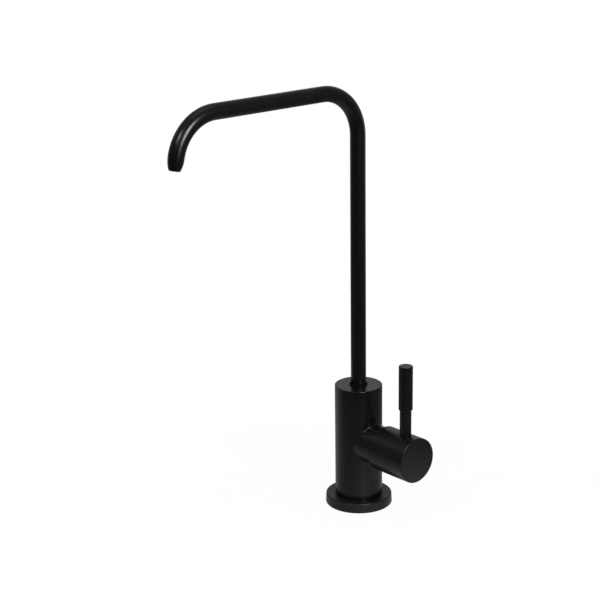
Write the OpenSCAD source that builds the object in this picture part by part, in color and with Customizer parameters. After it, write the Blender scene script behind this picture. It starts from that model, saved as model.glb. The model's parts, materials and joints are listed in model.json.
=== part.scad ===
// Drinking water filter tap: swivelling bent spout, turned body, side lever with a
// quarter-turn ceramic valve, and a threaded shank that clamps it to a worktop.
// The origin lies on the body's axis at the top of the worktop. +Z is up, +X runs
// along the valve's axis to the lever, and the spout points along -Y at rest.

/* [Spout] */
// Outside diameter of the spout tube
tube_d = 12; // [10:0.1:14]
// Wall of the spout tube
tube_wall = 1; // [0.6:0.1:1.4]
// Height of the level arm's centre line above the worktop
arm_z = 333.5; // [240:0.5:400]
// Straight length of the arm between the two bends
arm_l = 101.2; // [60:0.1:160]
// Centre-line radius of both bends
bend_r = 35; // [24:0.5:50]
// Angle that the second bend turns the tube down by
tip_angle = 78.4; // [60:0.2:100]
// Length of the drawn-in nozzle at the end of the tube
nozzle_l = 9; // [5:0.1:16]
// Outside diameter of the nozzle's mouth
nozzle_d = 8.2; // [6:0.1:9.5]
// Step in the wall where the nozzle leaves the tube
nozzle_step = 0.05; // [0.02:0.01:0.2]
// Chamfer round the nozzle's mouth
nozzle_lip = 0.3; // [0.1:0.05:0.4]
// Depth that the spout goes into the body
spout_depth = 27.6; // [24:0.1:34]
// Length of the tail that carries the spout's seals, below the tube's foot
tail_l = 14; // [13:0.1:18]
// Length of the tail's neck inside the tube
tail_neck_l = 8; // [5:0.5:14]
// Wall of the tail round its waterway
tail_wall = 2.3; // [2:0.1:2.6]
// Chamfer that leads the tail into the body
tail_lead = 0.5; // [0.2:0.1:0.8]
// Land between the grooves of the tail
tail_land = 1.6; // [1.2:0.1:2]
// Thickness of the split ring that keeps the spout in the body
keeper_t = 1; // [0.8:0.1:1.2]
// Depth that the split ring sits in the tail
keeper_grip = 0.4; // [0.3:0.05:0.6]
// Depth that the split ring reaches into the body
keeper_hold = 0.6; // [0.4:0.05:1]

/* [Body] */
// Diameter of the turned body
body_d = 37.5; // [34:0.1:44]
// Height of the body's top above the worktop
body_top_z = 99.4; // [92:0.1:120]
// Rounding of the body's top edge
body_edge = 0.5; // [0.2:0.1:1.5]
// Rounding of the body's foot edge, inside the flange
body_foot_edge = 0.6; // [0.2:0.1:1.2]
// Diameter of the wear bush round the foot of the spout
bush_d = 14.2; // [13.6:0.1:18]
// Height of the bush above the body
bush_proud = 1.2; // [0.6:0.1:3]
// Depth of the bush in the body
bush_depth = 5; // [3:0.5:7]
// Diameter of the spigot that centres the flange under the body
spigot_d = 23; // [18:0.5:28]
// Gap between the spigot's end and the worktop
spigot_lift = 2; // [1:0.5:4]
// Diameter of the waterways drilled in the body
waterway_d = 5.2; // [4:0.1:6]

/* [Base flange] */
// Height of the flange
flange_h = 8; // [6:0.1:12]
// Largest diameter of the flange, just above the worktop
flange_foot_d = 53; // [48:0.1:64]
// Diameter of the flange at its top edge
flange_top_d = 52.4; // [46:0.1:63]
// Rounding of the flange's top edge
flange_edge = 0.9; // [0.3:0.1:2]
// Chamfer round the flange's foot
flange_chamfer = 0.6; // [0.2:0.1:1.5]
// Depth that the body is let into the flange
flange_recess = 1.5; // [0.5:0.1:3]
// Width of the gasket under the flange
gasket_w = 4; // [2:0.1:5]
// Thickness of the gasket
gasket_t = 2.4; // [1:0.1:3]
// Metal left between the gasket and the flange's rim
gasket_margin = 3; // [2:0.1:4]

/* [Valve] */
// Height of the valve's axis above the worktop
valve_z = 53.9; // [48:0.1:62]
// Diameter of the boss that holds the valve
boss_d = 31.6; // [28:0.1:34]
// Thread diameter of the valve housing
thread_d = 20; // [18:0.1:22]
// Thread length of the valve housing
thread_l = 9; // [6:0.1:10]
// Diameter of the housing's nose, where the discs sit
nose_d = 16; // [15.6:0.1:17]
// Wall of the nose
nose_wall = 1.1; // [0.8:0.1:1.3]
// Width of the two windows in the nose
window_w = 7; // [4:0.1:8]
// Step from the housing's thread down to the chamber round its nose
chamber_step = 0.6; // [0.4:0.1:0.8]
// Length of the land that carries the housing's seal
land_l = 3.4; // [3:0.1:5]
// Metal between the nose's cavity and the land
land_step = 1.3; // [0.5:0.1:3]
// Width of the housing's hexagon across its flats
hex_af = 22; // [20:0.1:24]
// Height of the housing's hexagon
hex_h = 4; // [3:0.1:6]
// Diameter of the housing's neck
neck_d = 13.6; // [12:0.1:16]
// Length of the housing's neck
neck_l = 7; // [6:0.1:10]
// Diameter of the hole in the valve's seat
seat_hole_d = 7.6; // [6:0.1:9]
// Thickness of the seal between the seat and the fixed disc
seat_seal_t = 2.2; // [1.5:0.1:3]
// Thickness of the fixed disc
fixed_disc_t = 3; // [2.5:0.1:4]
// Thickness of the moving disc
moving_disc_t = 2.8; // [2.4:0.1:4]
// Angle that each port spans in the discs
port_span = 80; // [50:1:84]
// Inner radius of the ports
port_in_r = 2.6; // [2.5:0.1:3.2]
// Outer radius of the ports
port_out_r = 5.6; // [4.5:0.1:5.8]
// Width of the keys that stop the fixed disc turning
key_w = 3; // [2:0.1:4]
// Diameter of the spindle
spindle_d = 8; // [7:0.1:9]
// Diameter of the spindle's collar between its stop wings
collar_d = 9.6; // [9.2:0.1:10.4]
// Thickness of the spindle's stop wings
wing_t = 2.5; // [2:0.1:4]
// Angle that each stop wing spans
wing_span = 60; // [40:1:66]
// Free angle between a wing and its stop at each end of the turn
stop_slack = 4; // [3:0.5:8]
// Width of the drive tang on the spindle
tang_w = 3; // [2:0.1:3.4]
// Height of the drive tang
tang_h = 1.2; // [0.8:0.1:1.6]
// Thickness of the slip washer behind the wings
slip_washer_t = 0.6; // [0.4:0.1:1.2]
// Length of the splined end of the spindle
spline_l = 12; // [9:0.5:13]
// Number of teeth on the spline
spline_teeth = 20; // [12:1:24]
// Step from the spindle down to the tips of the spline's teeth
spline_step = 0.15; // [0.1:0.05:0.4]
// Depth of the spline's teeth
spline_depth = 0.5; // [0.3:0.05:0.6]
// Distance from the neck's end to the first sealing ring on the spindle
spindle_ring_inset = 2.2; // [1.5:0.1:3]
// Distance between the two sealing rings on the spindle
spindle_ring_pitch = 3.4; // [2.4:0.1:4.5]
// Thickness of the spindle's clip
clip_t = 0.8; // [0.6:0.1:1.2]
// Depth of the clip's groove
clip_depth = 0.7; // [0.4:0.1:1]
// Diameter of the clip
clip_d = 11.2; // [10.4:0.1:12.4]

/* [Handle] */
// Diameter of the handle's hub
hub_d = 35.7; // [35:0.1:40]
// Gap between the barrel of the body and the back rim of the hub
hub_standoff = 10.8; // [9:0.1:14]
// Length of the hub
hub_l = 35.8; // [34:0.1:44]
// Length of the boss that the hub's skirt covers
hub_overlap = 4; // [2:0.1:6]
// Rounding of the edge of the hub's end face
hub_edge = 0.5; // [0.2:0.1:1.5]
// Rounding of the hub's back rim
hub_rim = 0.3; // [0.1:0.1:0.5]
// Distance from the hub's end face to the lever
lever_inset = 12.6; // [11:0.1:14]
// Diameter of the lever's stem
stem_d = 9; // [7:0.1:10.4]
// Depth that the stem is let into the hub
stem_inset = 2.2; // [1:0.1:3]
// Diameter of the threads on the ends of the stem
stem_thread_d = 6; // [4:0.1:6.4]
// Length of those threads
stem_thread_l = 6.5; // [4:0.1:7]
// Diameter of the lever's grip
grip_d = 10.9; // [10.8:0.1:16]
// Height of the grip's foot above the valve's axis
grip_rise = 38.3; // [28:0.1:50]
// Length of the grip
grip_l = 35.6; // [20:0.1:60]
// Depth of the socket in the grip's foot for the stem
grip_socket = 2; // [1:0.1:4]
// Rounding of the grip's foot
grip_foot_edge = 0.8; // [0.3:0.05:0.8]
// Rounding of the grip's top edge
grip_edge = 0.5; // [0.2:0.1:1.5]
// Diameter of the grub screw that holds the hub
grub_d = 4; // [3:0.1:5]
// Length of the grub screw
grub_l = 8; // [5:0.1:10]
// Chamfer at the ends of the grub screw
grub_chamfer = 0.5; // [0.3:0.1:0.8]
// Width of the grub screw's socket across its flats
grub_af = 2; // [1.5:0.1:2.5]

/* [Fixing] */
// Thickness of the worktop that the tap is clamped to
deck_t = 20; // [2:0.5:25]
// Thread diameter of the shank
shank_d = 11.1; // [10:0.1:13]
// Bore of the shank
shank_bore_d = 6.2; // [5:0.1:7]
// Length of the shank below the top of the worktop
shank_reach = 58; // [56:0.5:90]
// Length of the shank screwed into the body
shank_grip = 18; // [12:0.5:24]
// Length of the free thread at the inlet
inlet_thread_l = 20; // [12:0.5:21]
// Width of the undercut between the fixing thread and the inlet thread
relief_w = 1.5; // [1:0.1:3]
// Depth of that undercut
relief_depth = 0.8; // [0.5:0.1:1.2]
// Chamfer at the ends of the threads
thread_chamfer = 0.8; // [0.4:0.1:1]
// Diameter of the rubber washer
rubber_washer_d = 30; // [24:0.5:40]
// Thickness of the rubber washer
rubber_washer_t = 3; // [2:0.1:4]
// Diameter of the steel washer
steel_washer_d = 28; // [22:0.5:38]
// Thickness of the steel washer
steel_washer_t = 1.5; // [1:0.1:2.5]
// Width of the nut across its flats
nut_af = 17.5; // [16:0.1:22]
// Height of the nut
nut_h = 6; // [4:0.1:8]
// Inset of the round end face of a hexagon from its flats
hex_inset = 0.3; // [0.2:0.05:0.6]
// Angle of the bevel on a hexagon's corners
hex_bevel = 30; // [20:1:35]

/* [Seals] */
// Section of the spout's sealing rings
spout_ring_section = 1.7; // [1.4:0.05:2]
// Section of the housing's sealing ring
housing_ring_section = 1.5; // [1.2:0.05:1.8]
// Section of the spindle's sealing rings
spindle_ring_section = 1.1; // [0.9:0.05:1.3]
// Width of a groove for each millimetre of its ring's section
groove_ratio = 1.3; // [1.1:0.05:1.4]
// Thickness of the seal on top of the shank
shank_seal_t = 1.6; // [1:0.1:3]

/* [Clearances] */
// Radial clearance of a shaft that turns in its bore
running_gap = 0.05; // [0.02:0.01:0.1]
// Radial clearance between fixed pieces that fit into each other
seat_gap = 0.05; // [0.02:0.01:0.1]
// Radial clearance of pieces that sit loose in a housing
loose_gap = 0.15; // [0.1:0.01:0.2]
// Play along an axis between pieces that are stacked or clipped
stack_play = 0.1; // [0.06:0.01:0.14]
// Clearance between pieces that move past each other without touching
moving_gap = 0.4; // [0.3:0.05:0.6]
// Room left round a sealing ring in its groove
groove_gap = 0.03; // [0.01:0.01:0.05]

/* [Hidden] */
$fn = 96;

// Colours
black_finish = "#1d1d1e";
rubber_black = "#0f0f10";
bush_black = "#161616";
brass = "#b5924c";
steel = "#a9adb0";
ceramic_white = "#e9e6dc";
ceramic_grey = "#cfd2d4";
silicone_red = "#8c3b30";
slip_white = "#dedbd2";

// Overrun of a cut past the face it opens
cut = 1;
// Angles that the rings with a gap go round
split_span = 320;
clip_span = 290;
// Angle that the spindle turns from shut to open
quarter_turn = 90;
// Angle from the spindle's wings at rest to the windows in the nose
window_turn = 45;
hex_corner = 1 / cos(30);
// Steps along the nozzle's arc
nozzle_steps = 6;

// Body and flange
body_r = body_d / 2;
body_foot_z = flange_h - flange_recess;
spigot_r = spigot_d / 2;
flange_foot_r = flange_foot_d / 2;
flange_top_r = flange_top_d / 2;
gasket_out_r = flange_foot_r - gasket_margin;
gasket_in_r = gasket_out_r - gasket_w;
waterway_r = waterway_d / 2;

// Spout
tube_r = tube_d / 2;
tube_bore_r = tube_r - tube_wall;
bend_z = arm_z - bend_r;
nozzle_r = nozzle_d / 2;
nozzle_root_r = tube_r - nozzle_step;
nozzle_root_l = sqrt(nozzle_step * bend_r);
nozzle_draw = nozzle_root_r - nozzle_r;
nozzle_bulge_r = (nozzle_l * nozzle_l + nozzle_draw * nozzle_draw) / (2 * nozzle_draw);
bush_r = bush_d / 2;
bush_edge = bush_proud / 2;
socket_r = tube_r + 2 * running_gap;
tail_foot_z = body_top_z - spout_depth;
tube_foot_z = tail_foot_z + tail_l;
socket_floor_z = tail_foot_z - moving_gap;
tail_r = tube_r - running_gap;
tail_bore_r = tail_r - tail_wall;

// Retaining ring and sealing rings of the spout, from the tube's foot down
keeper_groove_h = keeper_t + 2 * stack_play;
keeper_in_r = tail_r - keeper_grip;
keeper_out_r = socket_r + keeper_hold;
keeper_groove_r = keeper_in_r - 2 * loose_gap;
keeper_z = tube_foot_z - tail_land - keeper_groove_h / 2;
spout_ring_r = spout_ring_section / 2;
spout_groove_h = spout_ring_section * groove_ratio;
spout_groove_r = socket_r - spout_ring_section - 2 * groove_gap;
spout_ring_pitch = spout_groove_h + tail_land;
spout_ring_zs = [for (i = [1, 2]) keeper_z - keeper_groove_h / 2 + spout_groove_h / 2 - i * spout_ring_pitch];

// Valve, as distances from the body's axis along the valve's axis
boss_r = boss_d / 2;
hub_back = body_r + hub_standoff;
hub_front = hub_back + hub_l;
boss_end = hub_back + hub_overlap;
stack_t = seat_seal_t + fixed_disc_t + moving_disc_t + stack_play + wing_t + slip_washer_t;
seat = boss_end - thread_l - land_l - land_step - stack_t;
fixed_disc_at = seat + seat_seal_t;
moving_disc_at = fixed_disc_at + fixed_disc_t;
wing_at = moving_disc_at + moving_disc_t + stack_play;
slip_washer_at = wing_at + wing_t;
cavity_end = slip_washer_at + slip_washer_t;
land_at = cavity_end + land_step;
thread_at = land_at + land_l;
neck_at = boss_end + hex_h;
neck_end = neck_at + neck_l;
nose_lift = seat_seal_t / 3;
nose_at = seat + nose_lift;

// Valve radii
thread_r = thread_d / 2;
chamber_r = thread_r - chamber_step;
land_r = chamber_r - loose_gap;
nose_r = nose_d / 2;
cavity_r = nose_r - nose_wall;
fixed_disc_r = cavity_r - loose_gap;
moving_disc_r = cavity_r - moving_gap;
key_r = nose_r - loose_gap;
spindle_r = spindle_d / 2;
wing_r = cavity_r - moving_gap;
collar_r = collar_d / 2;
stop_in_r = collar_r + moving_gap;
stop_span = 180 - quarter_turn - wing_span - 2 * stop_slack;
stop_start = wing_span / 2 + quarter_turn + stop_slack;
seat_hole_r = seat_hole_d / 2;
housing_ring_r = housing_ring_section / 2;
housing_groove_w = housing_ring_section * groove_ratio;
housing_groove_r = chamber_r - housing_ring_section - 2 * groove_gap;
spindle_ring_r = spindle_ring_section / 2;
spindle_bore_r = spindle_r + running_gap;
spindle_groove_w = spindle_ring_section * groove_ratio;
spindle_groove_r = spindle_bore_r - spindle_ring_section - 2 * groove_gap;
spindle_ring_at = [for (i = [0, 1]) neck_end - spindle_ring_inset - i * spindle_ring_pitch];
clip_at = neck_end + stack_play;
clip_groove_r = spindle_r - clip_depth;
clip_r = clip_d / 2;

// Handle
hub_r = hub_d / 2;
skirt_r = boss_r + moving_gap;
hub_floor = clip_at + clip_t + moving_gap;
spline_at = clip_at + clip_t + 2 * stack_play;
spline_end = spline_at + spline_l;
lever_x = hub_front - lever_inset;
stem_r = stem_d / 2;
stem_thread_r = stem_thread_d / 2;
stem_seat_z = valve_z + hub_r - stem_inset;
grip_r = grip_d / 2;
grip_z = valve_z + grip_rise;
grip_top_z = grip_z + grip_l;
stem_top_z = grip_z + grip_socket;
grub_r = grub_d / 2;

// Fixing, from the worktop down
shank_r = shank_d / 2;
shank_bore_r = shank_bore_d / 2;
shank_top_z = spigot_lift + shank_grip;
shank_socket_z = shank_top_z + shank_seal_t;
relief_z = inlet_thread_l - shank_reach;
rubber_washer_z = -deck_t - rubber_washer_t;
steel_washer_z = rubber_washer_z - steel_washer_t;
nut_z = steel_washer_z - nut_h;

// Outlet drilling, from the valve chamber up to the floor of the spout's socket
outlet_from = [(moving_disc_at + cavity_end) / 2, valve_z + (nose_r + chamber_r) / 2];
outlet_to = [0, socket_floor_z + waterway_r / 2];
outlet_run = outlet_from[0] - outlet_to[0];
outlet_rise = outlet_to[1] - outlet_from[1];
outlet_l = norm(outlet_to - outlet_from);
outlet_tilt = atan2(outlet_run, outlet_rise);

// Shared shapes
module ring(in_r, out_r, from, to) {
    rotate_extrude() translate([in_r, from]) square([out_r - in_r, to - from]);
}

module rod(r, from, to) {
    translate([0, 0, from]) cylinder(r = r, h = to - from);
}

module round_ring(mid_r, section_r, at) {
    rotate_extrude() translate([mid_r, at]) circle(section_r);
}

module sector(in_r, out_r, from, to, start, span) {
    rotate_extrude(angle = span, start = start) translate([in_r, from]) square([out_r - in_r, to - from]);
}

// Half section of a rod whose foot and top edges are rounded
module rod_section(r, l, foot_edge, top_edge) {
    translate([0, foot_edge]) square([r, l - foot_edge - top_edge]);
    square([r - foot_edge, l / 2]);
    translate([0, l / 2]) square([r - top_edge, l / 2]);
    translate([r - foot_edge, foot_edge]) circle(foot_edge);
    translate([r - top_edge, l - top_edge]) circle(top_edge);
}

// Rod with chamfered ends
module chamfered_rod(r, from, to, chamfer) {
    rotate_extrude()
        polygon([
            [0, from], [r - chamfer, from], [r, from + chamfer],
            [r, to - chamfer], [r - chamfer, to], [0, to]
        ]);
}

module hexagon(across_flats, from, to) {
    translate([0, 0, from]) cylinder(r = across_flats / 2 * hex_corner, h = to - from, $fn = 6);
}

// Hexagon whose corners are bevelled at its upper end
module bevelled_hexagon(across_flats, from, to) {
    end_r = across_flats / 2 - hex_inset;
    rim_r = across_flats / 2 * hex_corner + cut;
    bevel_h = (rim_r - end_r) * tan(hex_bevel);
    intersection() {
        hexagon(across_flats, from, to + cut);
        rotate_extrude()
            polygon([[0, from - cut], [rim_r, from - cut], [rim_r, to - bevel_h], [end_r, to], [0, to]]);
    }
}

// Z of what is drawn inside becomes the valve's axis
module on_valve_axis() {
    translate([0, 0, valve_z]) rotate([0, 90, 0]) children();
}

// X of what is drawn inside becomes the spout's reach
module toward_spout() {
    rotate([0, 0, -90]) children();
}

// Spout: one bent tube, its foot starting at foot_z
module spout_run(r, foot_z) {
    rod(r, foot_z, bend_z);
    translate([bend_r, 0, bend_z]) bend(r, 90, 90);
    translate([bend_r, 0, arm_z]) rotate([0, 90, 0]) rod(r, 0, arm_l);
    translate([bend_r + arm_l, 0, bend_z]) bend(r, 90 - tip_angle, tip_angle);
}

module bend(r, start, span) {
    rotate([90, 0, 0]) rotate_extrude(angle = span, start = start) translate([bend_r, 0]) circle(r);
}

// Nozzle: rooted in the second bend, its wall drawn in along an arc that starts level
function nozzle_wall_r(along) = nozzle_root_r - nozzle_bulge_r + sqrt(pow(nozzle_bulge_r, 2) - pow(along, 2));

module nozzle(inset, arc_l, mouth) {
    translate([bend_r + arm_l, 0, bend_z]) rotate([0, tip_angle - 90, 0]) translate([bend_r, 0, 0])
        rotate([180, 0, 0]) rotate_extrude() polygon([
            [0, -nozzle_root_l],
            [nozzle_root_r - inset, -nozzle_root_l],
            for (i = [0 : nozzle_steps])
                [nozzle_wall_r(arc_l * i / nozzle_steps) - inset, arc_l * i / nozzle_steps],
            mouth,
            [0, mouth[1]]
        ]);
}

module spout_tube() {
    color(black_finish) toward_spout() difference() {
        union() {
            spout_run(tube_r, tube_foot_z);
            nozzle(0, nozzle_l - nozzle_lip, [nozzle_r - nozzle_lip, nozzle_l]);
        }
        spout_run(tube_bore_r, tube_foot_z - cut);
        nozzle(tube_wall, nozzle_l, [nozzle_r - tube_wall, nozzle_l + cut]);
    }
}

module spout_ferrule() {
    color(brass) difference() {
        union() {
            chamfered_rod(tail_r, tail_foot_z, tube_foot_z, tail_lead);
            rod(tube_bore_r - seat_gap, tube_foot_z, tube_foot_z + tail_neck_l);
        }
        rod(tail_bore_r, tail_foot_z - cut, tube_foot_z + tail_neck_l + cut);
        ring(keeper_groove_r, tail_r + cut, keeper_z - keeper_groove_h / 2, keeper_z + keeper_groove_h / 2);
        for (z = spout_ring_zs)
            ring(spout_groove_r, tail_r + cut, z - spout_groove_h / 2, z + spout_groove_h / 2);
    }
}

module spout_o_rings() {
    color(rubber_black) for (z = spout_ring_zs)
        round_ring(spout_groove_r + groove_gap + spout_ring_r, spout_ring_r, z);
}

module spout_retaining_ring() {
    color(steel)
        sector(keeper_in_r, keeper_out_r, keeper_z - keeper_t / 2, keeper_z + keeper_t / 2, 0, split_span);
}

// Body: barrel, spigot and valve boss, with every socket and waterway cut from it
module tap_body() {
    color(black_finish) difference() {
        union() {
            translate([0, 0, body_foot_z]) rotate_extrude()
                rod_section(body_r, body_top_z - body_foot_z, body_foot_edge, body_edge);
            rod(spigot_r, spigot_lift, body_foot_z + cut);
            on_valve_axis() rod(boss_r, 0, boss_end);
        }
        spout_socket();
        valve_chamber();
        inlet_waterway();
        outlet_waterway();
    }
}

module spout_socket() {
    rod(socket_r, socket_floor_z, body_top_z + cut);
    rod(bush_r + seat_gap, body_top_z - bush_depth, body_top_z + cut);
    rod(keeper_out_r + 2 * running_gap, keeper_z - keeper_groove_h / 2, keeper_z + keeper_groove_h / 2);
}

module valve_chamber() {
    on_valve_axis() {
        rod(chamber_r, seat, boss_end + cut);
        rod(thread_r + seat_gap, thread_at, boss_end + cut);
    }
}

module inlet_waterway() {
    rod(shank_r + seat_gap, spigot_lift - cut, shank_socket_z);
    rod(shank_bore_r, shank_socket_z - cut, valve_z);
    on_valve_axis() rod(seat_hole_r, -shank_bore_r, seat + cut);
}

module outlet_waterway() {
    translate([outlet_from[0], 0, outlet_from[1]]) rotate([0, -outlet_tilt, 0])
        cylinder(r = waterway_r, h = outlet_l);
}

module spout_bush() {
    color(bush_black) difference() {
        translate([0, 0, body_top_z - bush_depth]) rotate_extrude()
            rod_section(bush_r, bush_depth + bush_proud, seat_gap, bush_edge);
        rod(tube_r + running_gap, body_top_z - bush_depth - cut, body_top_z + bush_proud + cut);
    }
}

module flange_section() {
    shoulder_z = flange_h - flange_edge;
    hole_r = spigot_r + seat_gap;
    difference() {
        union() {
            polygon([
                [hole_r, 0], [flange_foot_r - flange_chamfer, 0], [flange_foot_r, flange_chamfer],
                [flange_top_r, shoulder_z], [hole_r, shoulder_z]
            ]);
            translate([hole_r, 0]) square([flange_top_r - flange_edge - hole_r, flange_h]);
            translate([flange_top_r - flange_edge, shoulder_z]) circle(flange_edge);
        }
        translate([0, body_foot_z]) square([body_r + seat_gap, flange_recess + cut]);
        translate([gasket_in_r - seat_gap, -cut])
            square([gasket_w + 2 * seat_gap, gasket_t + seat_gap + cut]);
    }
}

module base_flange() {
    color(black_finish) rotate_extrude() flange_section();
}

module base_gasket() {
    color(rubber_black) ring(gasket_in_r, gasket_out_r, 0, gasket_t);
}

// Valve housing: nose with windows and key slots, sealing land, thread, hexagon, neck
module valve_housing() {
    color(brass) on_valve_axis() {
        difference() {
            union() {
                rod(nose_r, nose_at, land_at + cut);
                rod(land_r, land_at, thread_at);
                rod(thread_r, thread_at, boss_end);
                bevelled_hexagon(hex_af, boss_end, neck_at);
                rod(neck_d / 2, neck_at - cut, neck_end);
            }
            rod(cavity_r, nose_at - cut, cavity_end);
            rod(spindle_bore_r, nose_at, neck_end + cut);
            ring(housing_groove_r, land_r + cut, housing_groove_at(), housing_groove_at() + housing_groove_w);
            housing_windows();
            key_bar(key_w + 2 * seat_gap, nose_r + cut, nose_at - cut, moving_disc_at);
        }
        for (turn = [0, 180])
            sector(stop_in_r, nose_r - nose_wall / 2, wing_at + stack_play, slip_washer_at - stack_play,
                stop_start + turn, stop_span);
    }
}

function housing_groove_at() = (land_at + thread_at - housing_groove_w) / 2;

// Openings in the nose where the water leaves the moving disc sideways
module housing_windows() {
    for (turn = [0, 180])
        rotate([0, 0, window_turn + turn])
            translate([spindle_r, -window_w / 2, moving_disc_at + moving_gap])
                cube([nose_r, window_w, cavity_end - moving_disc_at - 2 * moving_gap]);
}

// Bar across the axis whose two ends are the keys of the fixed disc
module key_bar(w, r, from, to) {
    translate([-w / 2, -r, from]) cube([w, 2 * r, to - from]);
}

module housing_o_ring() {
    color(rubber_black) on_valve_axis()
        round_ring(housing_groove_r + groove_gap + housing_ring_r, housing_ring_r,
            housing_groove_at() + housing_groove_w / 2);
}

// Two opposite ports through a disc
module disc_ports(from, to, middle) {
    for (turn = [0, 180])
        sector(port_in_r, port_out_r, from - cut, to + cut, middle + turn - port_span / 2, port_span);
}

module fixed_disc() {
    color(ceramic_white) on_valve_axis() difference() {
        union() {
            rod(fixed_disc_r, fixed_disc_at, moving_disc_at);
            intersection() {
                key_bar(key_w, nose_r, fixed_disc_at, moving_disc_at);
                rod(key_r, fixed_disc_at, moving_disc_at);
            }
        }
        disc_ports(fixed_disc_at, moving_disc_at, 0);
    }
}

module seat_seal() {
    color(silicone_red) on_valve_axis() ring(seat_hole_r, fixed_disc_r, seat, fixed_disc_at);
}

module moving_disc() {
    disc_end = moving_disc_at + moving_disc_t;
    slot_w = tang_w + 2 * stack_play;
    color(ceramic_grey) on_valve_axis() difference() {
        rod(moving_disc_r, moving_disc_at, disc_end);
        disc_ports(moving_disc_at, disc_end, quarter_turn);
        translate([-moving_disc_r - cut, -slot_w / 2, disc_end - tang_h])
            cube([2 * (moving_disc_r + cut), slot_w, tang_h + cut]);
    }
}

// Spindle: tang in the moving disc, two stop wings, grooved shaft, splined end
module valve_spindle() {
    color(brass) on_valve_axis() {
        difference() {
            union() {
                intersection() {
                    translate([-wing_r, -tang_w / 2, wing_at - tang_h])
                        cube([2 * wing_r, tang_w, tang_h + stack_play]);
                    rod(wing_r, wing_at - tang_h, slip_washer_at);
                }
                rod(collar_r, wing_at, slip_washer_at);
                for (turn = [0, 180])
                    sector(spindle_r, wing_r, wing_at, slip_washer_at, turn - wing_span / 2, wing_span);
                rod(spindle_r, wing_at, spline_at);
            }
            for (at = spindle_ring_at)
                ring(spindle_groove_r, spindle_r + cut, at - spindle_groove_w / 2, at + spindle_groove_w / 2);
            ring(clip_groove_r, spindle_r + cut, clip_at - stack_play / 2, clip_at + clip_t + stack_play / 2);
        }
        translate([0, 0, spline_at - stack_play]) linear_extrude(spline_l + stack_play) spline_outline(0);
    }
}

// Toothed outline of the spline, grown all round by a clearance
module spline_outline(grow) {
    polygon([
        for (i = [0 : 2 * spline_teeth - 1])
            let (r = spindle_r - spline_step + grow - (i % 2) * spline_depth, a = 180 * i / spline_teeth)
                [r * cos(a), r * sin(a)]
    ]);
}

module spindle_o_rings() {
    color(rubber_black) on_valve_axis() for (at = spindle_ring_at)
        round_ring(spindle_groove_r + groove_gap + spindle_ring_r, spindle_ring_r, at);
}

module thrust_washer() {
    color(slip_white) on_valve_axis() ring(spindle_bore_r, wing_r, slip_washer_at, cavity_end);
}

module spindle_clip() {
    color(steel) on_valve_axis()
        sector(clip_groove_r + seat_gap, clip_r, clip_at, clip_at + clip_t, 0, clip_span);
}

// Hub: skirt over the boss, splined socket, seat of the stem above and grub screw below
module handle_hub() {
    color(black_finish) difference() {
        on_valve_axis() difference() {
            translate([0, 0, hub_back]) rotate_extrude() rod_section(hub_r, hub_l, hub_rim, hub_edge);
            rod(skirt_r, hub_back - cut, hub_floor);
            translate([0, 0, hub_floor - cut])
                linear_extrude(spline_end - hub_floor + cut + stack_play) spline_outline(2 * seat_gap);
        }
        translate([lever_x, 0, 0]) {
            rod(stem_r + seat_gap, stem_seat_z, valve_z + hub_r + cut);
            rod(stem_thread_r + seat_gap, stem_seat_z - stem_thread_l - seat_gap, stem_seat_z + cut);
            rod(grub_r + seat_gap, valve_z - hub_r - cut, valve_z);
        }
    }
}

module hub_set_screw() {
    grub_top_z = valve_z - spindle_r - 2 * seat_gap;
    color(steel) translate([lever_x, 0, 0]) difference() {
        chamfered_rod(grub_r, grub_top_z - grub_l, grub_top_z, grub_chamfer);
        hexagon(grub_af, grub_top_z - grub_l - cut, grub_top_z - grub_l / 2);
    }
}

// Stem: a rod with a thread at each end, one in the hub and one in the grip
module lever_stem() {
    color(black_finish) translate([lever_x, 0, 0]) {
        rod(stem_thread_r, stem_seat_z - stem_thread_l, stem_seat_z + cut);
        rod(stem_r, stem_seat_z, stem_top_z);
        rod(stem_thread_r, stem_top_z - cut, stem_top_z + stem_thread_l);
    }
}

module lever_grip() {
    color(black_finish) translate([lever_x, 0, 0]) difference() {
        translate([0, 0, grip_z]) rotate_extrude() rod_section(grip_r, grip_l, grip_foot_edge, grip_edge);
        rod(stem_r + seat_gap, grip_z - cut, stem_top_z);
        rod(stem_thread_r + seat_gap, stem_top_z - cut, stem_top_z + stem_thread_l + seat_gap);
    }
}

// Shank: fixing thread, undercut and inlet thread round one bore
module shank() {
    color(brass) difference() {
        chamfered_rod(shank_r, -shank_reach, shank_top_z, thread_chamfer);
        rod(shank_bore_r, -shank_reach - cut, shank_top_z + cut);
        ring(shank_r - relief_depth, shank_r + cut, relief_z, relief_z + relief_w);
    }
}

module shank_seal() {
    color(rubber_black) ring(shank_bore_r, shank_r - seat_gap, shank_top_z, shank_socket_z);
}

module rubber_washer() {
    color(rubber_black) ring(shank_r + seat_gap, rubber_washer_d / 2, rubber_washer_z, -deck_t);
}

module steel_washer() {
    color(steel) ring(shank_r + seat_gap, steel_washer_d / 2, steel_washer_z, rubber_washer_z);
}

module deck_nut() {
    color(brass) difference() {
        mirror([0, 0, 1]) bevelled_hexagon(nut_af, -steel_washer_z, -nut_z);
        rod(shank_r + seat_gap, nut_z - cut, steel_washer_z + cut);
    }
}

spout_tube();
spout_ferrule();
spout_o_rings();
spout_retaining_ring();
tap_body();
spout_bush();
base_flange();
base_gasket();
valve_housing();
housing_o_ring();
fixed_disc();
seat_seal();
moving_disc();
valve_spindle();
spindle_o_rings();
thrust_washer();
spindle_clip();
handle_hub();
hub_set_screw();
lever_stem();
lever_grip();
shank();
shank_seal();
rubber_washer();
steel_washer();
deck_nut();
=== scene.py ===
import json
import math

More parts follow.
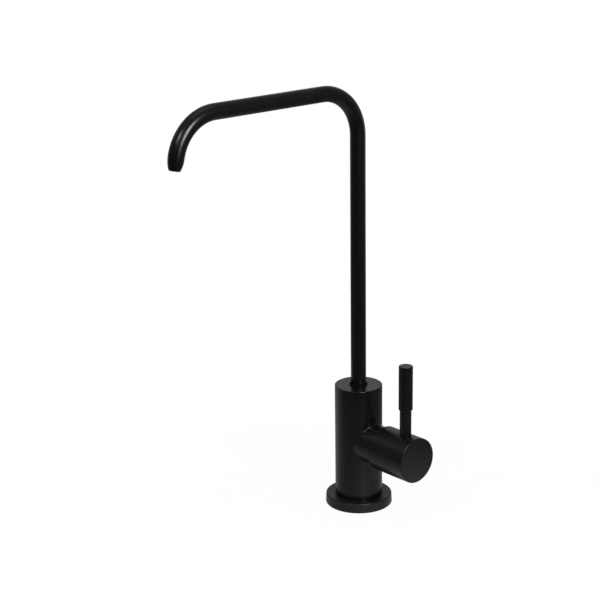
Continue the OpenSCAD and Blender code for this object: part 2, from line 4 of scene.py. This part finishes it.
import bpy
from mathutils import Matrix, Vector


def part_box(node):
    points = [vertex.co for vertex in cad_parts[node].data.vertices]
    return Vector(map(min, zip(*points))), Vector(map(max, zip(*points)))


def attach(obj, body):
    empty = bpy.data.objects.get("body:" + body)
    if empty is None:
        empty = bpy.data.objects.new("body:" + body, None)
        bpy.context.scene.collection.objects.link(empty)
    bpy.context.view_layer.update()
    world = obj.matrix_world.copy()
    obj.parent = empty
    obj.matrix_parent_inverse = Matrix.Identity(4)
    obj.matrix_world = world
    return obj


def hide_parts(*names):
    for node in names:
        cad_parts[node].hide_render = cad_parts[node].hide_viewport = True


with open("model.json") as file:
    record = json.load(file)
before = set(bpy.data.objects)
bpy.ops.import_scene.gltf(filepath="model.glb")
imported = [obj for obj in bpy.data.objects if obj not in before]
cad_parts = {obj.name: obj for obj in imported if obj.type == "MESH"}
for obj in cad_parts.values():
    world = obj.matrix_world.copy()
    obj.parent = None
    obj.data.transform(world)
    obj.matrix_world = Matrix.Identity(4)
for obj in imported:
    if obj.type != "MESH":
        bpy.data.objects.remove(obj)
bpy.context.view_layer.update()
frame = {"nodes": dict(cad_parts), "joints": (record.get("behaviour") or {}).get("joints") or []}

MM = 0.001
scene = bpy.context.scene
scene.view_settings.view_transform = "Standard"


def toward(azimuth, elevation=0):
    """Direction at an azimuth and elevation in degrees, with azimuth 0 along -Y and 90 along +X."""
    a, e = math.radians(azimuth), math.radians(elevation)
    return Vector((math.sin(a) * math.cos(e), -math.cos(a) * math.cos(e), math.sin(e)))


def place_in_scene(name, data):
    made = bpy.data.objects.new(name, data)
    scene.collection.objects.link(made)
    return made


# Camera at the photograph's viewing angle, for a square picture
CAMERA_PLACE = Vector((0.87523, -0.81788, 0.5291))
CAMERA_TURN_DEG = (73.2692, 0.7661, 48.8738)
LENS_MM, SENSOR_MM = 96.584, 36

camera = place_in_scene("camera", bpy.data.cameras.new("camera"))
camera.location = CAMERA_PLACE
camera.rotation_euler = [math.radians(turn) for turn in CAMERA_TURN_DEG]
camera.data.lens = LENS_MM
camera.data.sensor_width = SENSOR_MM
scene.camera = camera


# Node trees, whose methods add a node and give back the output to read
class Tree:
    def __init__(self, tree):
        self.nodes = tree.nodes
        self.links = tree.links

    def add(self, kind, inputs=None, **settings):
        node = self.nodes.new(kind)
        for name, value in settings.items():
            setattr(node, name, value)
        for socket, value in (inputs or {}).items():
            if isinstance(value, bpy.types.NodeSocket):
                self.links.new(value, node.inputs[socket])
            else:
                node.inputs[socket].default_value = value
        return node

    def calc(self, operation, *values):
        made = self.add("ShaderNodeMath", dict(enumerate(values)), operation=operation)
        return made.outputs[0]

    def measure(self, operation, *vectors):
        made = self.add("ShaderNodeVectorMath", dict(enumerate(vectors)), operation=operation)
        return made.outputs["Value"]

    def spread(self, value, low, high, start=0.3, end=0.7):
        """Runs from low to high as the value, by default a noise, goes from start to end."""
        made = self.add("ShaderNodeMapRange", {0: value, 1: start, 2: end, 3: low, 4: high})
        return made.outputs[0]

    def white_to_eye(self):
        """1 for a ray that comes from the camera, straight or through glass."""
        path = self.add("ShaderNodeLightPath").outputs
        return self.calc("MAXIMUM", path["Is Camera Ray"], path["Is Transmission Ray"])


class Surface(Tree):
    def __init__(self, name, **constants):
        self.material = bpy.data.materials.new(name)
        self.material.use_nodes = True
        super().__init__(self.material.node_tree)
        self.shader = self.nodes["Principled BSDF"]
        self.coords = self.add("ShaderNodeTexCoord").outputs["Object"]
        for socket, value in constants.items():
            self.shader.inputs[socket.replace("_", " ")].default_value = value

    def noise(self, scale, detail, stretch=(1, 1, 1)):
        coords = self.add("ShaderNodeMapping", {"Vector": self.coords, "Scale": stretch}).outputs[0]
        made = self.add("ShaderNodeTexNoise", {"Vector": coords, "Scale": scale, "Detail": detail})
        return made.outputs["Fac"]

    def shades(self, value, dark, light, start=0.35, end=0.65):
        ramp = self.add("ShaderNodeValToRGB", {"Fac": value})
        for stop, position, colour in zip(ramp.color_ramp.elements, (start, end), (dark, light)):
            stop.position = position
            stop.color = (*colour, 1)
        return ramp.outputs["Color"]

    def bump(self, height, strength, depth_mm):
        inputs = {"Height": height, "Strength": strength, "Distance": depth_mm * MM}
        return self.add("ShaderNodeBump", inputs).outputs["Normal"]

    def paint(self, **outputs):
        for socket, output in outputs.items():
            self.links.new(output, self.shader.inputs[socket.replace("_", " ")])
        return self.material


# Satin black coating over turned metal: cloudy tone, uneven gloss, fine orange peel
COAT_IOR = 1.34
COAT_SHEEN = (1.0, 0.935, 0.9, 1)
WARM_BLACK = Vector((1.06, 1, 1))


def coating(name, dark, light, rough, peel):
    made = Surface(name, IOR=COAT_IOR, Specular_Tint=COAT_SHEEN)
    cloud = made.noise(scale=90, detail=4)
    patches = made.noise(scale=160, detail=4)
    grain = made.noise(scale=3200, detail=2)
    return made.paint(
        Base_Color=made.shades(cloud, WARM_BLACK * dark, WARM_BLACK * light),
        Roughness=made.spread(patches, low=rough - 0.02, high=rough + 0.03),
        Normal=made.bump(grain, strength=peel, depth_mm=0.03),
    )


# Turned or stamped metal: fine rings of the tool across the axis that the stretch gives
def turned(name, dark, light, rough, stretch):
    made = Surface(name, Metallic=1)
    rings = made.noise(scale=60, detail=3, stretch=stretch)
    smear = made.noise(scale=700, detail=4)
    return made.paint(
        Base_Color=made.shades(rings, dark, light),
        Roughness=made.spread(smear, low=rough - 0.07, high=rough + 0.1),
        Normal=made.bump(rings, strength=0.25, depth_mm=0.05),
    )


# Moulded or pressed material: mottled tone and a soft grain
PLAIN_IOR = 1.45


def moulded(name, dark, light, rough, grain_scale, relief, ior=PLAIN_IOR):
    made = Surface(name, IOR=ior)
    mottle = made.noise(scale=260, detail=5)
    grain = made.noise(scale=grain_scale, detail=4)
    return made.paint(
        Base_Color=made.shades(mottle, dark, light),
        Roughness=made.spread(grain, low=rough - 0.07, high=rough + 0.07),
        Normal=made.bump(grain, strength=relief, depth_mm=0.05),
    )


BRASS_DARK, BRASS_LIGHT = (0.5, 0.33, 0.12), (0.64, 0.45, 0.19)
STEEL_DARK, STEEL_LIGHT = (0.38, 0.39, 0.4), (0.56, 0.57, 0.58)
RUBBER_DARK, RUBBER_LIGHT = (0.008, 0.008, 0.008), (0.016, 0.016, 0.017)
SILICONE_DARK, SILICONE_LIGHT = (0.24, 0.04, 0.028), (0.32, 0.06, 0.04)
CREAM_DARK, CREAM_LIGHT = (0.76, 0.73, 0.66), (0.84, 0.82, 0.76)
GREY_DARK, GREY_LIGHT = (0.56, 0.58, 0.6), (0.66, 0.68, 0.7)
BUSH_DARK, BUSH_LIGHT = (0.003, 0.0029, 0.0029), (0.0042, 0.004, 0.004)
SLIP_DARK, SLIP_LIGHT = (0.68, 0.66, 0.6), (0.76, 0.74, 0.69)
BUSH_IOR = 1.11

black_tube = coating("black_tube", dark=0.0021, light=0.003, rough=0.25, peel=0.02)
black_body = coating("black_body", dark=0.0021, light=0.0031, rough=0.27, peel=0.025)
# The flange and lever copies of the same black coating have a lighter base tone: painted light, for how
# brightly they are lit
black_flange_painted_lighter = coating("black_flange_painted_lighter", dark=0.0044, light=0.0055, rough=0.38, peel=0.025)
black_lever_painted_lighter = coating("black_lever_painted_lighter", dark=0.0026, light=0.0037, rough=0.27, peel=0.025)
brass_upright = turned("brass_upright", BRASS_DARK, BRASS_LIGHT, rough=0.28, stretch=(1, 1, 40))
brass_level = turned("brass_level", BRASS_DARK, BRASS_LIGHT, rough=0.28, stretch=(40, 1, 1))
steel = turned("steel", STEEL_DARK, STEEL_LIGHT, rough=0.33, stretch=(30, 30, 2))
rubber = moulded("rubber", RUBBER_DARK, RUBBER_LIGHT, rough=0.72, grain_scale=2400, relief=0.2)
silicone = moulded("silicone", SILICONE_DARK, SILICONE_LIGHT, rough=0.55, grain_scale=1800, relief=0.15)
ceramic_white = moulded(
    "ceramic_white", CREAM_DARK, CREAM_LIGHT, rough=0.2, grain_scale=2600, relief=0.04,
)
ceramic_grey = moulded("ceramic_grey", GREY_DARK, GREY_LIGHT, rough=0.2, grain_scale=2600, relief=0.04)
bush_plastic = moulded(
    "bush_plastic", BUSH_DARK, BUSH_LIGHT, rough=0.8, grain_scale=2200, relief=0.06, ior=BUSH_IOR,
)
slip_plastic = moulded("slip_plastic", SLIP_DARK, SLIP_LIGHT, rough=0.45, grain_scale=1600, relief=0.1)

FINISHES = {
    "spout_tube": black_tube,
    "tap_body": black_body,
    "handle_hub": black_body,
    "base_flange": black_flange_painted_lighter,
    "lever_stem": black_lever_painted_lighter,
    "lever_grip": black_lever_painted_lighter,
    "spout_ferrule": brass_upright,
    "shank": brass_upright,
    "deck_nut": brass_upright,
    "valve_housing": brass_level,
    "valve_spindle": brass_level,
    "spout_retaining_ring": steel,
    "spindle_clip": steel,
    "hub_set_screw": steel,
    "steel_washer": steel,
    "spout_o_rings": rubber,
    "housing_o_ring": rubber,
    "spindle_o_rings": rubber,
    "base_gasket": rubber,
    "shank_seal": rubber,
    "rubber_washer": rubber,
    "seat_seal": silicone,
    "fixed_disc": ceramic_white,
    "moving_disc": ceramic_grey,
    "spout_bush": bush_plastic,
    "thrust_washer": slip_plastic,
}


def finish_with(obj, material):
    obj.data.materials.clear()
    obj.data.materials.append(material)


for node_name, finish in FINISHES.items():
    finish_with(frame["nodes"][node_name], finish)


# Pieces modelled here, as rings of points joined into a closed skin
SHARP_EDGE = math.radians(50)


def mesh_piece(name, rings, material, body):
    count, sides = len(rings), len(rings[0])
    points = [point for ring in rings for point in ring]
    faces = []
    for ring in range(count):
        here, there = ring * sides, (ring + 1) % count * sides
        for i in range(sides):
            j = (i + 1) % sides
            faces.append((here + i, here + j, there + j, there + i))
    data = bpy.data.meshes.new(name)
    data.from_pydata(points, [], faces)
    data.polygons.foreach_set("use_smooth", [True] * len(faces))
    data.set_sharp_from_angle(angle=SHARP_EDGE)
    piece = place_in_scene(name, data)
    finish_with(piece, material)
    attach(piece, body)
    return piece


def turns(count):
    """Angles that go once round."""
    return [2 * math.pi * i / count for i in range(count)]


# Brazed fillet where the valve's boss meets the round body
BODY_R, BOSS_R = 18.75 * MM, 15.8 * MM
FILLET_W, FILLET_SUNK = 0.9 * MM, 0.25 * MM
VALVE_Z = next(joint["pos_m"][2] for joint in frame["joints"] if joint["name"] == "handle_turn")


def boss_fillet():
    around, steps = 144, 6

    def on_body(a, r, depth=0):
        y = r * math.cos(a)
        return Vector((math.sqrt((BODY_R - depth) ** 2 - y * y), y, VALVE_Z - r * math.sin(a)))

    rings = []
    for a in turns(around):
        outer, corner = on_body(a, BOSS_R + FILLET_W), on_body(a, BOSS_R)
        inner = corner + Vector((FILLET_W, 0, 0))
        shares = [i / steps for i in range(steps + 1)]
        curve = [outer * (1 - t) ** 2 + corner * 2 * t * (1 - t) + inner * t * t for t in shares]
        rings.append([*curve, on_body(a, BOSS_R - FILLET_SUNK, FILLET_SUNK)])
    return rings


mesh_piece("boss_fillet", boss_fillet(), black_body, "base")


# Spout drawn as one smooth tube: riser, two bends, arm, nozzle and the bore through them
BEND_R, ARM_L, TUBE_WALL = 35 * MM, 101.2 * MM, 1 * MM
NOZZLE_L, NOZZLE_R, NOZZLE_STEP, NOZZLE_LIP = 9 * MM, 4.1 * MM, 0.05 * MM, 0.3 * MM
UPWARD, LEVEL, TIP_HEADING = -math.pi / 2, 0, math.radians(78.4)


def spout_stations(tube_r, foot_z, arm_z):
    """Places along the spout as reach, height, heading below the level, and outside radius."""
    bend_steps, nozzle_steps = 32, 12

    def bend(centre, start, end):
        for k in range(bend_steps + 1):
            heading = start + (end - start) * k / bend_steps
            reach, rise = BEND_R * math.sin(heading), BEND_R * math.cos(heading)
            yield centre + reach, arm_z - BEND_R + rise, heading, tube_r

    stations = [(0, foot_z, UPWARD, tube_r)]
    stations += bend(BEND_R, UPWARD, LEVEL)
    stations += bend(BEND_R + ARM_L, LEVEL, TIP_HEADING)
    tip_reach, tip_z = stations[-1][:2]
    draw = tube_r - NOZZLE_STEP - NOZZLE_R
    bulge_r = (NOZZLE_L ** 2 + draw ** 2) / (2 * draw)
    nozzle = []
    for k in range(1, nozzle_steps + 1):
        along = (NOZZLE_L - NOZZLE_LIP) * k / nozzle_steps
        nozzle.append((along, NOZZLE_R + draw - bulge_r + math.sqrt(bulge_r ** 2 - along ** 2)))
    nozzle.append((NOZZLE_L, NOZZLE_R - NOZZLE_LIP))
    for along, r in nozzle:
        ahead, down = along * math.cos(TIP_HEADING), along * math.sin(TIP_HEADING)
        stations.append((tip_reach + ahead, tip_z - down, TIP_HEADING, r))
    return stations


def drawn_spout():
    sides = 56
    low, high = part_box("spout_tube")
    outside = spout_stations(tube_r=high.x, foot_z=low.z, arm_z=high.z - high.x)
    mouth = (*outside[-1][:3], NOZZLE_R - TUBE_WALL)
    bore = [(*place, r - TUBE_WALL) for *place, r in outside[-2::-1]]

    def ring(reach, height, heading, r):
        for a in turns(sides):
            up, aside = r * math.cos(a), r * math.sin(a)
            yield -aside, -reach - up * math.sin(heading), height + up * math.cos(heading)

    return [list(ring(*station)) for station in (*outside, mouth, *bore)]


spout = mesh_piece("drawn_spout", drawn_spout(), black_tube, "spout")
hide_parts("spout_tube")


# Inlet shank with its right-hand threads cut, above and below the undercut
PITCH, THREAD_DEPTH, CREST_SHARE = 25.4 / 24 * MM, 0.62 * MM, 0.15
SHANK_BORE_R, SHANK_CHAMFER = 3.1 * MM, 0.8 * MM
INLET_L, UNDERCUT_W, UNDERCUT_DEPTH = 20 * MM, 1.5 * MM, 0.8 * MM


def threaded_shank():
    sides, rings_a_pitch = 36, 6
    low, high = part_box("shank")
    undercut_z = low.z + INLET_L

    def thread_radius(z, a):
        if undercut_z < z < undercut_z + UNDERCUT_W:
            return high.x - UNDERCUT_DEPTH
        flank = 2 * abs((z / PITCH - a / (2 * math.pi)) % 1 - 0.5)
        groove = THREAD_DEPTH * min(max((flank - CREST_SHARE) / (1 - 2 * CREST_SHARE), 0), 1)
        to_end = min(z - low.z, high.z - z)
        return high.x - max(groove, SHANK_CHAMFER - to_end)

    def bore_radius(z, a):
        return SHANK_BORE_R

    def ring(z, radius):
        for a in turns(sides):
            r = radius(z, a)
            yield r * math.cos(a), r * math.sin(a), z

    count = round((high.z - low.z) / PITCH * rings_a_pitch)
    heights = [low.z + (high.z - low.z) * k / count for k in range(count + 1)]
    outside = [(z, thread_radius) for z in heights]
    bore = [(z, bore_radius) for z in (high.z, low.z)]
    return [list(ring(*station)) for station in outside + bore]


shank = mesh_piece("threaded_shank", threaded_shank(), brass_upright, "base")
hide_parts("shank")


# Floor: white to the eye, with a faint shadow on the lit paper that shows through near the foot,
# and in reflections a painted dim level with painted pools of light, a painted pale streak and a
# painted rise at the back
VIEW_AZIMUTH = math.degrees(math.atan2(CAMERA_PLACE.x, -CAMERA_PLACE.y))
BEHIND, ASIDE = -toward(VIEW_AZIMUTH), toward(VIEW_AZIMUTH + 90)
FLOOR_NEAR, FLOOR_FAR, FLOOR_HALF_W = -0.26, 8, 5
PAPER, WHITE = (0.9, 0.9, 0.9, 1), (1, 1, 1, 1)
REFLECTED_FLOOR_LEVEL = 0.175
# Painted pools of light on the floor, seen only in reflections
PAINTED_LIGHT_POOLS = [
    {"centre": (0, 0, 0), "level": 0.25, "start": 0.03, "end": 0.25},
    {"centre": (0.07, -0.035, 0), "level": 0.26, "start": 0.02, "end": 0.1},
    {"centre": (0.12, 0.05, 0), "level": 0.55, "start": 0.01, "end": 0.085},
    {"centre": (-0.23, -0.07, 0), "level": 0.36, "start": 0.05, "end": 0.21},
]
STREAK_AZIMUTH, STREAK_HALF_W = 67, 0.035
STREAK_START, STREAK_END = 0.05, 0.35
STREAK_STRONG, STREAK_FAINT = 0.48, 0.24
RISE_LEVEL, RISE_START, RISE_END = 0.5, 0.3, 0.9
WHITE_SHARE, SHADOW_START, SHADOW_END = 0.95, 0.03, 0.25


# Painted reflections: the floor's emission for glossy rays, a dim level with painted pools, streak and
# rise of light
def painted_reflection_level(tree, place):
    level = REFLECTED_FLOOR_LEVEL
    for pool in PAINTED_LIGHT_POOLS:
        away = tree.measure("DISTANCE", place, pool["centre"])
        glow = tree.spread(away, low=pool["level"], high=0, start=pool["start"], end=pool["end"])
        level = tree.calc("ADD", level, glow)
    ahead = tree.measure("DOT_PRODUCT", place, toward(STREAK_AZIMUTH))
    aside = tree.calc("ABSOLUTE", tree.measure("DOT_PRODUCT", place, toward(STREAK_AZIMUTH + 90)))
    begun = tree.spread(ahead, low=0, high=1, start=0, end=STREAK_START)
    faded = tree.spread(ahead, low=STREAK_STRONG, high=STREAK_FAINT, start=STREAK_START, end=STREAK_END)
    across = tree.spread(aside, low=1, high=0, start=0, end=STREAK_HALF_W)
    streak = tree.calc("MULTIPLY", tree.calc("MULTIPLY", begun, faded), across)
    back = tree.measure("DOT_PRODUCT", place, BEHIND)
    rise = tree.spread(back, low=0, high=RISE_LEVEL, start=RISE_START, end=RISE_END)
    return tree.calc("ADD", tree.calc("ADD", level, streak), rise)


def floor_material():
    made = bpy.data.materials.new("floor")
    made.use_nodes = True
    made.cycles.emission_sampling = "NONE"
    tree = Tree(made.node_tree)
    tree.nodes.clear()
    place = tree.add("ShaderNodeTexCoord").outputs["Object"]
    direct = tree.white_to_eye()
    glossy = tree.add("ShaderNodeLightPath").outputs["Is Glossy Ray"]
    away = tree.measure("LENGTH", place)
    unshaded = tree.spread(away, low=WHITE_SHARE, high=1, start=SHADOW_START, end=SHADOW_END)
    share = tree.calc("MULTIPLY", tree.calc("MAXIMUM", direct, glossy), unshaded)
    strength = tree.calc("MAXIMUM", direct, painted_reflection_level(tree, place))
    paper = tree.add("ShaderNodeBsdfDiffuse", {"Color": PAPER}).outputs[0]
    white = tree.add("ShaderNodeEmission", {"Color": WHITE, "Strength": strength}).outputs[0]
    mixed = tree.add("ShaderNodeMixShader", {0: share, 1: paper, 2: white}).outputs[0]
    tree.add("ShaderNodeOutputMaterial", {"Surface": mixed})
    return made


def floor():
    corners = [
        BEHIND * u + ASIDE * v
        for u, v in (
            (FLOOR_NEAR, -FLOOR_HALF_W), (FLOOR_FAR, -FLOOR_HALF_W),
            (FLOOR_FAR, FLOOR_HALF_W), (FLOOR_NEAR, FLOOR_HALF_W),
        )
    ]
    data = bpy.data.meshes.new("floor")
    data.from_pydata(corners, [], [(0, 1, 2, 3)])
    made = place_in_scene("floor", data)
    finish_with(made, floor_material())


floor()


# Soft boxes and panels, aimed at the spout's far bend
LIGHT_AIM = Vector((0.005, -0.163, 0.323))


def softbox(name, azimuth, elevation, distance, width, height, power):
    lamp = bpy.data.lights.new(name, "AREA")
    lamp.shape = "RECTANGLE"
    lamp.size = width
    lamp.size_y = height
    lamp.energy = power
    made = place_in_scene(name, lamp)
    made.location = LIGHT_AIM + toward(azimuth, elevation) * distance
    made.rotation_euler = (math.radians(90 - elevation), 0, math.radians(azimuth))


softbox("side_box", azimuth=90, elevation=21, distance=0.8, width=0.26, height=0.32, power=8)
softbox("side_panel", azimuth=84, elevation=4.5, distance=0.8, width=0.2, height=0.16, power=0.36)
softbox("front_box", azimuth=13, elevation=43.5, distance=1, width=0.2, height=0.2, power=3.4)
softbox("front_panel", azimuth=40, elevation=35, distance=1, width=0.6, height=0.4, power=0.78)
softbox("left_panel", azimuth=298, elevation=32, distance=1.2, width=0.6, height=0.45, power=0.34)
softbox("back_panel", azimuth=222, elevation=16, distance=1.5, width=1.2, height=0.6, power=0.68)
softbox("top_panel", azimuth=180, elevation=80, distance=1, width=0.7, height=0.7, power=0.68)


# Room that is white to the eye, and to all other rays dim in front and paler behind and overhead
FRONT_AZIMUTH = 42
ROOM_BACK, ROOM_FRONT = 0.36, 0.05
CEILING_LEVEL, CEILING_START = 0.3, 0.74


def studio():
    world = bpy.data.worlds.new("studio")
    scene.world = world
    world.use_nodes = True
    world.cycles.sampling_method = "NONE"
    tree = Tree(world.node_tree)
    tree.nodes.clear()
    direction = tree.add("ShaderNodeTexCoord").outputs["Generated"]
    front = tree.measure("DOT_PRODUCT", direction, toward(FRONT_AZIMUTH))
    around = tree.spread(front, low=ROOM_BACK, high=ROOM_FRONT, start=-1, end=1)
    height = tree.add("ShaderNodeSeparateXYZ", {0: direction}).outputs["Z"]
    ceiling = tree.spread(height, low=0, high=CEILING_LEVEL, start=CEILING_START, end=1)
    strength = tree.calc("MAXIMUM", tree.white_to_eye(), tree.calc("ADD", around, ceiling))
    sky = tree.add("ShaderNodeBackground", {"Color": WHITE, "Strength": strength}).outputs[0]
    tree.add("ShaderNodeOutputWorld", {"Surface": sky})


studio()
